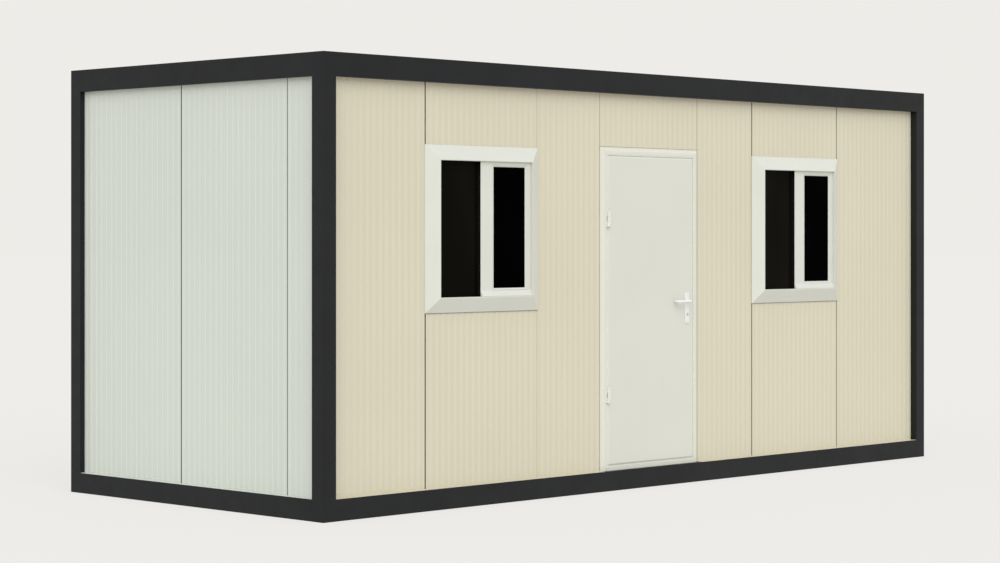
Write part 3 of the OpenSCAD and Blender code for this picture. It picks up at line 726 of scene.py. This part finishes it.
def sash_trimmings(side, x, x0, x1, z0, z1, near, far):
    """Dark strip under the trim's lower bar, painted shadow along its edge; a brush beside the meeting
    stile, as black as the panes' painted shade; and a sill along the sash's foot.
    """
    # Painted shadow: a dark grey strip along the lower bar's outer edge
    under_trim = side_bars(trim_shadow_strip_profile, (x, window_z), OPEN_W, OPEN_H, "B")
    make(f"window_{side}_trim_shadow_strip", on_wall(under_trim, "front"), grey_seal_and_shadow_rubber)
    # Painted shade: the brush is as black as the panes and covers the sash's side face
    brush = bar((x0 - 2.2, near + 1.5, z0 + 1), (x0 + 0.5, far + 2.6, z1 - 1), 2, 0.6, 0.3)
    make(f"window_{side}_brush_seal_and_painted_shade", on_wall(brush, "front"), brush_seal_and_painted_shade)
    section = eased([(near + 0.4, z0 + 0.4), (near - SILL_OUT + 1, z0 + 0.4), (near - SILL_OUT, z0 + 2.0),
                     (near - 0.4, z0 + SILL_H), (near + 0.4, z0 + SILL_H)], [0.3, 0.6, 1.0, 0.6, 0.3])
    sill = lofted(np.stack([np.insert(section, 0, end, axis=1) for end in (x0 + 0.6, x1 - 0.6)]))
    make(f"window_{side}_sash_sill", on_wall(sill, "front"), window_pvc)


def window_panes(side, x, sash, pane, near):
    """The fixed pane, which runs on behind the meeting stile, and the sash's own pane."""
    back = corners_on_front(f"window_{side}_glass")[1][1]
    fixed = stack([(back - 8, 0.8), (back - 7.4, 0), (back - 0.6, 0), (back, 0.8)],
                  x - OPEN_W / 2, sash[0] + MEETING / 2 - 15, sash[2], sash[3], 1.0)
    make(f"window_{side}_fixed_pane", on_wall(fixed, "front"), fixed_glass,
         stands_for=[f"window_{side}_glass"])
    sliding = stack([(near + 9, 0.6), (near + 9.6, 0), (near + 14.4, 0), (near + 15, 0.6)], *pane, 1.0)
    make(f"window_{side}_sash_pane", on_wall(sliding, "front"), sash_glass,
         stands_for=[f"window_{side}_glass"])


for side, x in zip(("left", "right"), window_x):
    trim = side_bars(trim_profile, (x, window_z), OPEN_W, OPEN_H)
    make(f"window_{side}_splayed_trim", on_wall(trim, "front"), window_pvc,
         stands_for=[f"window_{side}_trim"])
    recoat(f"window_{side}_frame", window_pvc)
    (x0, near, z0), (x1, far, z1) = corners_on_front(f"window_{side}_sash")
    sash = (x0, x1, z0, z1)
    pane = (x0 + MEETING, x1 - STILE, z0 + BASE, z1 - TOP)
    sash_frame(side, sash, pane, near)
    sash_trimmings(side, x, *sash, near, far)
    window_panes(side, x, sash, pane, near)


# ---- Door ----

# The leaf as (x0, x1, z0, z1), the depths of its front and back, and its gaps at the hinges and head
# and at the lock
leaf_low, leaf_high = corners_mm("door_leaf")
leaf = (leaf_low[0], leaf_high[0], leaf_low[2], leaf_high[2])
LEAF_R, LEAF_BACK, LEAF_GAP, LOCK_GAP = 30.0, 75.0, 5.0, 7.0
in_x0, in_x1, in_z1 = leaf[0] - LEAF_GAP, leaf[1] + LOCK_GAP, leaf[3] + LEAF_GAP

# Jamb section: width of its face and of that face's bevel, and the depths of face, stop and back
FACE_W, BEVEL_W, JAMB_R, STOP_R, JAMB_BACK, STOP_W = 42.0, 20.0, 32.0, 80.0, 100.0, 20.0
jamb_w = (door_high[0] - door_low[0] - (in_x1 - in_x0)) / 2
jamb_profile = eased([(0, JAMB_R), (FACE_W - BEVEL_W, JAMB_R), (FACE_W, 49.8), (jamb_w, 49.8),
                      (jamb_w, JAMB_BACK), (-STOP_W, JAMB_BACK), (-STOP_W, STOP_R), (0, STOP_R)],
                     [1.2, 2.0, 0.8, 0.8, 0.6, 0.6, 1.0, 0.6])
stop_seal_profile = eased([(-1, 76.2), (-13, 76.6), (-13, 80.2), (-1, 80.2)], 1.2)


def round_doorway(profile, mitre, foot):
    """A profile carried up both jambs from foot and across the head."""
    centre = ((in_x0 + in_x1) / 2, (WALL_Z0 + in_z1) / 2)
    return on_wall(side_bars(profile, centre, in_x1 - in_x0, in_z1 - WALL_Z0, "TRL", mitre, foot), "front")


make("door_jambs_and_head", round_doorway(jamb_profile, 0.12, WALL_Z0), jamb_paint,
     stands_for=["door_frame"])
recoat("door_threshold", jamb_paint)
make("door_stop_seal", round_doorway(stop_seal_profile, 0.1, WALL_Z0 + 26), grey_seal_and_shadow_rubber)

# Pressed leaf: its front is bevelled back to the edges by BEVEL_D over BEVEL
BEVEL, BEVEL_D = 14.0, 10.0
make("door_leaf_pressed", on_wall(stack([
    (LEAF_R, BEVEL + 1.0), (LEAF_R + 0.2, BEVEL), (LEAF_R + 0.8, BEVEL - 1.0), (LEAF_R + BEVEL_D - 1.0, 0.9),
    (LEAF_R + BEVEL_D - 0.2, 0.2), (LEAF_R + BEVEL_D + 0.6, 0), (LEAF_BACK - 1.0, 0), (LEAF_BACK - 0.3, 0.3),
    (LEAF_BACK, 1.0)], *leaf, 1.6), "front"), door_paint, "door", stands_for=["door_leaf"])

# Lip round the leaf: how far it stands out from the leaf's left, right, lower and upper edges. A point
# of its section is (share of that, less how much, depth behind the leaf's front)
LIP_W, OUTWARDS = np.array([4.4, 6.2, 4.4, 4.4]), np.array([-1, 1, -1, 1])
LIP_SECTION = [(1, 0.6, 2.2), (1, 0.0, 3.0), (1, 0.0, 13.4), (1, 0.6, 14.0),
               (0, 1.0, 14.4), (0, 1.0, 3.0), (0, 0.4, 2.3)]
lip = holed_frame([(*(np.array(leaf) + OUTWARDS * (LIP_W * share - less)), LEAF_R + behind)
                   for share, less, behind in LIP_SECTION])
make("door_leaf_edge_lip", on_wall(lip, "front"), white_rubber, "door")

# Painted light: the hinges take a white lighter than the door's, against the shade at their knuckles
recoat("hinge_frame_halves", hinge_paint_with_painted_light)
recoat("hinge_door_halves", hinge_paint_with_painted_light)
recoat("lock_cylinder", nickel)

# Screws: a domed head with a recess, three in each frame half and two in each leaf half of a hinge
SCREW_HEAD = [(3.6, 0.0), (3.6, -0.5), (3.0, -1.1), (1.8, -1.5), (1.2, -1.2), (0.9, -0.9)]
screw = turned(SCREW_HEAD, (0, 0, 0), 1, 12)
hinge_x = corners_mm("hinge_frame_halves")[0][0]
hinge_z = [leaf[2] + up for up in (461, 1605)]
frame_screws = [(hinge_x + 8, 28.0, z + dz) for z in hinge_z for dz in (-34, 0, 34)]
leaf_screws = [(leaf[0] + 21.5, 26.0, z + dz) for z in hinge_z for dz in (-38, 38)]
make("hinge_frame_screws", on_wall(repeated(screw, frame_screws), "front"), zinc_screw, smooth=30)
make("hinge_leaf_screws", on_wall(repeated(screw, leaf_screws), "front"), zinc_screw, "door",
     smooth=30)

# Handle: the lever's axis, the lock's axis below it, and the plate as (x0, x1, z0, z1)
LEVER_TUBE_R, LOCK_DROP = 9.0, 88.0
PLATE_W, PLATE_H, PLATE_T, PLATE_ABOVE = 40.0, 205.0, 8.0, 56.0
lever_low, lever_high = corners_mm("door_lever")
lever_z, lever_x = float(lever_low[2] + lever_high[2]) / 2, float(lever_high[0]) - LEVER_TUBE_R
plate_top = lever_z + PLATE_ABOVE
plate = (lever_x - PLATE_W / 2, lever_x + PLATE_W / 2, plate_top - PLATE_H, plate_top)
LEAF_FACES = [(LEAF_R, -1), (LEAF_BACK, 1)]
PLATE_LEVELS = [(0, 0), (5.5, 0), (6.8, 0.6), (7.6, 1.8), (PLATE_T, 3.4)]
plates = [stack([(face + way * rise, inset) for rise, inset in PLATE_LEVELS], *plate, 9.0, 6)
          for face, way in LEAF_FACES]
make("handle_plates_moulded", on_wall(joined(plates), "front"), handle_nylon, "door",
     stands_for=["handle_plates"])

# Collars round the levers and the lock, turned sections of (radius, height)
COLLAR = [(13.5, 0.0), (13.5, 2.2), (12.6, 3.4), (10.6, 4.0), (9.6, 4.0), (9.5, 0.0)]
LOCK_ROSE = [(12.0, 0.0), (12.0, 0.8), (11.2, 1.4), (9.4, 1.4), (9.2, 0.0)]
collars = [turned([(r, way * height) for r, height in section],
                  (lever_x, face + way * (PLATE_T - 0.2), z), 1, 32)
           for section, z in ((COLLAR, lever_z), (LOCK_ROSE, lever_z - LOCK_DROP))
           for face, way in LEAF_FACES]
make("handle_collars", on_wall(joined(collars), "front"), handle_nylon, "door", smooth=35)
plate_screws = [(lever_x, LEAF_R - PLATE_T + 0.1, z) for z in (plate[3] - 14, plate[2] + 14)]
make("handle_plate_screws", on_wall(repeated(screw, plate_screws), "front"), nickel, "door",
     smooth=30)

# Levers: distance of the grip from the leaf, length from the axis to the tip, radius of the bends
GRIP_OUT, LEVER_L, BEND_R = 30.0, 129.0, 16.0
TUBE_RADII = np.array([LEVER_TUBE_R] * 23 + [8.8, 8.0, 5.5])


def lever_path(face, way):
    """Level path of one lever: out from the leaf, a quarter circle of radius BEND_R, along, a second
    quarter circle, and back towards the leaf."""
    turn = np.linspace(0, math.pi / 2, 10)
    grip, tip_x = face + way * GRIP_OUT, lever_x - LEVER_L
    neck = np.array([[lever_x, face], [lever_x, face + way * 12.0]])
    first = np.stack([lever_x - BEND_R + BEND_R * np.cos(turn), grip + way * BEND_R * np.sin(turn)], -1)
    second = np.stack([tip_x + BEND_R * (1 - np.sin(turn)), grip + way * BEND_R * np.cos(turn)], -1)
    tip = grip - way * np.array([9.0, 18.0, 20.0, 21.0])
    return np.concatenate([neck, first, second, np.stack([np.full(4, tip_x), tip], -1)])


levers = [tube(lever_path(face, way), TUBE_RADII, lever_z, 28) for face, way in LEAF_FACES]
make("lever_handles", on_wall(joined(levers), "front"), handle_nylon, "lever",
     stands_for=["door_lever"], smooth=50)


# ---- Room and roof ----

# Floor, joists, ceiling and roof sheet keep their shapes
recoat("floor_deck", vinyl)
recoat("floor_joist_set", joist_paint)
recoat("roof_joist_set", joist_paint)
recoat("ceiling_boards", ceiling_board)
recoat("roof_sheet", zinc)

# The room between the walls' inner faces, in the front wall's (along, depth)
room_x0, room_x1 = -LENGTH / 2 + END_FACE + PANEL_T, LENGTH / 2 - END_FACE - PANEL_T
room_y0, room_y1 = SIDE_FACE + PANEL_T, WIDTH - SIDE_FACE - PANEL_T
floor_z, ceiling_z = corners_mm("floor_deck")[1][2], corners_mm("ceiling_boards")[0][2]

cove = edging(room_x0, room_x1, room_y0, room_y1, [
    (0.2, ceiling_z - 30), (6, ceiling_z - 29), (29, ceiling_z - 6), (30, ceiling_z - 0.2),
    (0.2, ceiling_z - 0.2)])
make("ceiling_cove", on_wall(cove, "front"), window_pvc)


def skirting(start, along, inward, length):
    """One board: its section, set against the wall, carried along the wall between its two ends."""
    section = eased([(0.2, floor_z + 0.2), (10, floor_z + 0.2), (10, floor_z + 52), (0.2, floor_z + 60)],
                    [0.3, 0.3, 6, 0.5])
    foot = np.asarray(start, float) + section[:, :1] * np.asarray(inward, float)
    return lofted(np.stack([np.column_stack([foot + np.asarray(along, float) * end, section[:, 1]])
                            for end in (0.3, length - 0.3)]))


boards = [
    skirting((room_x0, room_y0), (1, 0), (0, 1), door_x0 - room_x0 - 2),
    skirting((door_x1 + 2, room_y0), (1, 0), (0, 1), room_x1 - door_x1 - 2),
    skirting((room_x0, room_y1), (1, 0), (0, -1), room_x1 - room_x0),
    skirting((room_x0, room_y0), (0, 1), (1, 0), room_y1 - room_y0),
    skirting((room_x1, room_y0), (0, 1), (-1, 0), room_y1 - room_y0),
]
make("skirting_boards", on_wall(joined(boards), "front"), window_pvc)

# Flashing turned up at the frame and laid over the edges of the roof sheet
roof_low, roof_high = corners_mm("roof_sheet")
sheet_low, sheet_top = roof_low[2], roof_high[2]
flashing = edging(roof_low[0], roof_high[0], roof_low[1], roof_high[1], [
    (0.3, sheet_top + 14), (2.0, sheet_top + 14), (2.6, sheet_top + 2.6), (60, sheet_top + 2.2),
    (62, sheet_top + 1.0), (63, sheet_low + 2.2), (0.3, sheet_low + 2.2)])
make("roof_flashing", flashing, zinc)

# Screws with washers on the roof ribs, in five rows above the joists
ROOF_RIB_PITCH, EDGE_ROW, ROWS = 195.0, 130.0, 5
WASHER = [(8.5, 0.0), (8.5, 1.6), (7.6, 2.4), (5.0, 2.4), (4.8, 3.6), (4.3, 4.6), (2.0, 4.8)]
rib_x = np.arange(-14, 15) * ROOF_RIB_PITCH
row_y = np.linspace(roof_low[1] + EDGE_ROW, roof_high[1] - EDGE_ROW, ROWS)
spots = np.stack(np.meshgrid(rib_x, row_y, [sheet_top], indexing="ij"), -1).reshape(-1, 3)
make("roof_screws", repeated(turned(WASHER, (0, 0, 0), 2, 8), spots), zinc_screw)


# ---- Stage, in metres ----

STUDIO_HALF, STUDIO_Z = 150.0, -0.0006
BACKDROP, ZENITH = paint(238, 236, 232), (0.82, 0.855, 0.96, 1.0)
ground = bpy.data.meshes.new("studio_floor")
studio_corners = rectangle(-STUDIO_HALF, STUDIO_HALF, -STUDIO_HALF, STUDIO_HALF)
ground.from_pydata([(x, y, STUDIO_Z) for x, y in studio_corners], [], [(0, 1, 2, 3)])
studio_floor = bpy.data.objects.new("studio_floor", ground)
bpy.context.scene.collection.objects.link(studio_floor)
floor_coat = Finish("pale_studio_floor", Roughness=1.0, Specular_IOR_Level=0.0, Emission_Strength=0.80,
                    Emission_Color=BACKDROP, Base_Color=shade(BACKDROP, 0.165))
ground.materials.append(floor_coat.material)

# Studio light: the backdrop's colour near the horizon, slightly cooler overhead
world = bpy.data.worlds.new("studio")
bpy.context.scene.world = world
world.use_nodes = True
sky = Nodes(world.node_tree, "Background")
bearing = sky.node("ShaderNodeTexCoord", {}, {}, "Generated")
climb = sky.node("ShaderNodeSeparateXYZ", {}, {0: bearing}, "Z")
overhead = sky.node("ShaderNodeMapRange", {}, {"Value": climb, "From Min": 0.12, "From Max": 0.60})
sky.feed("Color", sky.mix(overhead, BACKDROP, ZENITH))

# Key light: broad and soft, from the front, the left and above
key = bpy.data.objects.new("key_light", bpy.data.lights.new("key_light", "SUN"))
key.data.energy, key.data.angle, key.data.color = 1.88, math.radians(58), (1.0, 0.998, 0.99)
key.rotation_mode = "QUATERNION"
key.rotation_quaternion = Vector((-0.463, -0.592, 0.660)).to_track_quat("Z", "Y")
bpy.context.scene.collection.objects.link(key)

camera = bpy.data.objects.new("camera", bpy.data.cameras.new("camera"))
camera.location = (-12.4965, -11.7344, 1.6578)
camera.rotation_euler = (math.radians(90), 0, math.radians(-44.885))
camera.data.lens, camera.data.sensor_width = 88.38, 36.0
camera.data.shift_x, camera.data.shift_y = 0.0529, -0.0463
camera.data.clip_start, camera.data.clip_end = 0.1, 500.0
bpy.context.scene.collection.objects.link(camera)
bpy.context.scene.camera = camera
bpy.context.scene.view_settings.view_transform = "Standard"
